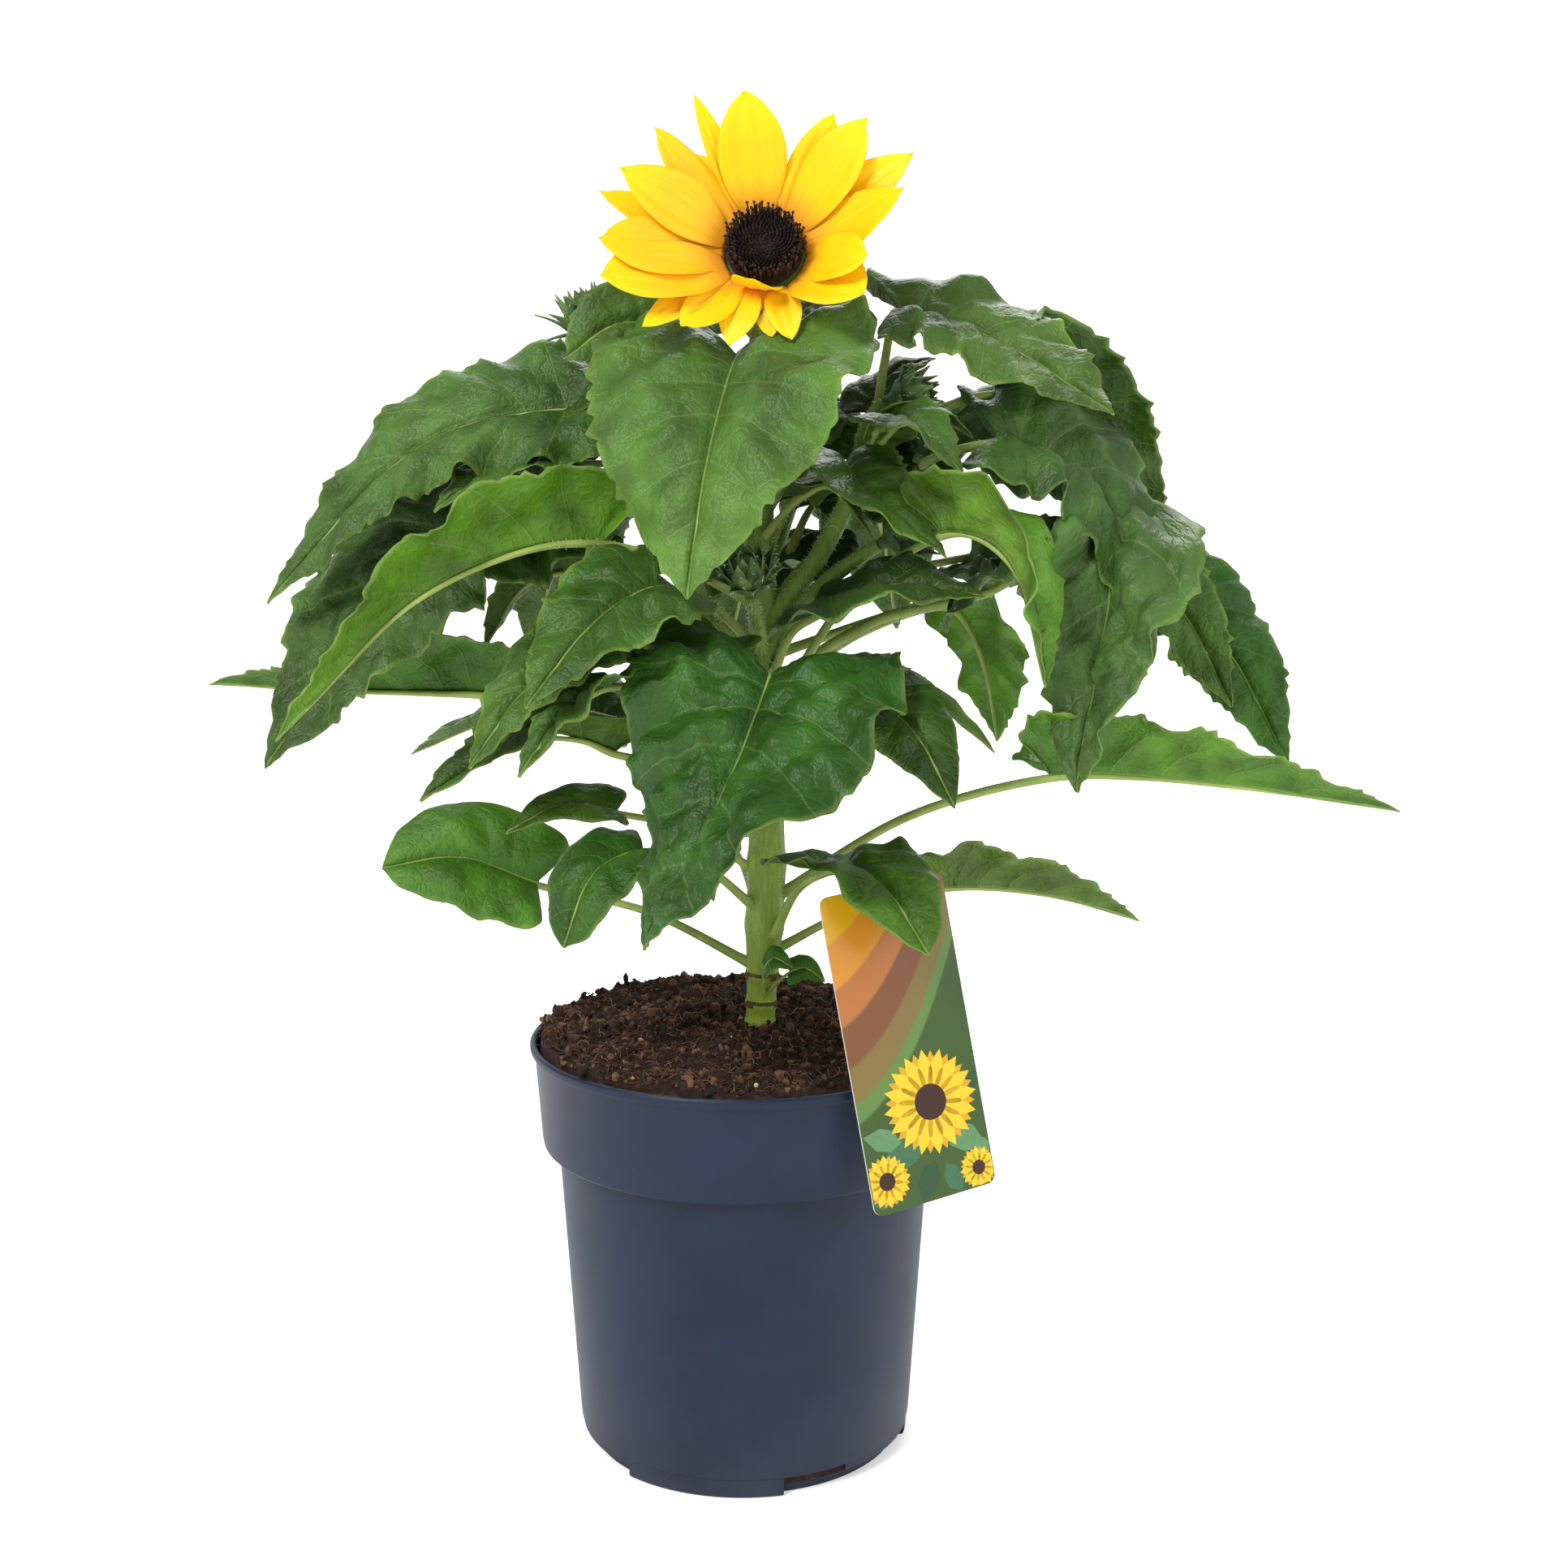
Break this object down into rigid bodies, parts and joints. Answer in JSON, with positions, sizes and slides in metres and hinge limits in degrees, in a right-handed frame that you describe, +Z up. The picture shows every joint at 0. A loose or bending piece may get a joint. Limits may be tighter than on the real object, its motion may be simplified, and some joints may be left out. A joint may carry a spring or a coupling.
{
  "type": "potted sunflower plant",
  "caption": "Bushy dwarf sunflower in a round nursery pot: branching green stem, heart-shaped toothed leaves, one open yellow bloom with a dark disc, closed buds and a blank-text tag.",
  "frame": {"origin": "centre of the pot's flat underside", "axes": "+Z up along the pot's axis, -Y towards the side the bloom faces, +X to the viewer's right"},
  "size_m": [0.5275, 0.3088, 0.5843],
  "materials": {
    "pot_plastic": "matte slate-blue injection-moulded plastic",
    "potting_soil": "moist brown peat and coir potting mix",
    "stem_green": "light green hairy stem",
    "leaf_green": "dull puckered leaf blade",
    "petals": "thin satin yellow petal",
    "disc_florets": "dark brown tufted florets",
    "bud_green": "hairy green bracts",
    "label_card": "printed plastic tag"
  },
  "bodies": {
    "root": {"pot": "pot_plastic", "soil": "potting_soil", "main_stem": "stem_green", "branch_right": "stem_green", "branch_right_low": "stem_green", "branch_left": "stem_green", "branch_left_low": "stem_green", "branch_back": "stem_green", "branch_front": "stem_green", "flower_disc": "disc_florets", "ray_petals": "petals", "flower_cup": "bud_green", "bud_right": "bud_green", "bud_right_low": "bud_green", "bud_left": "bud_green", "bud_left_low": "bud_green", "bud_back": "bud_green", "bud_front": "bud_green", "label_card": "label_card", "leaf_front_top": "leaf_green", "leaf_front_low": "leaf_green", "leaf_front_small": "leaf_green", "leaf_front_right": "leaf_green", "leaf_right_top": "leaf_green", "leaf_right_rear": "leaf_green", "leaf_left_top": "leaf_green", "leaf_left_broad": "leaf_green", "leaf_left_bright": "leaf_green", "leaf_left_long": "leaf_green", "leaf_left_mid": "leaf_green", "leaf_left_round": "leaf_green", "leaf_left_oval": "leaf_green", "leaf_left_narrow": "leaf_green", "leaf_left_droop": "leaf_green", "leaf_left_small": "leaf_green", "leaf_left_inner": "leaf_green", "leaf_left_curl": "leaf_green", "leaf_left_shoulder": "leaf_green", "leaf_left_bud": "leaf_green", "leaf_right_inner": "leaf_green", "leaf_right_crook": "leaf_green", "leaf_right_bud": "leaf_green", "leaf_right_folded": "leaf_green", "leaf_right_big": "leaf_green", "leaf_right_shoulder": "leaf_green", "leaf_right_outer": "leaf_green", "leaf_right_far": "leaf_green", "leaf_right_long": "leaf_green", "leaf_right_low": "leaf_green", "leaf_right_oval": "leaf_green", "leaf_right_thin": "leaf_green", "leaf_right_yellow": "leaf_green", "leaf_back_top": "leaf_green", "leaf_back_right": "leaf_green", "leaf_back_left": "leaf_green", "leaf_back_mid": "leaf_green", "leaf_back_low_left": "leaf_green", "leaf_back_low_right": "leaf_green", "leaf_back_foot": "leaf_green"}
  },
  "joints": []
}
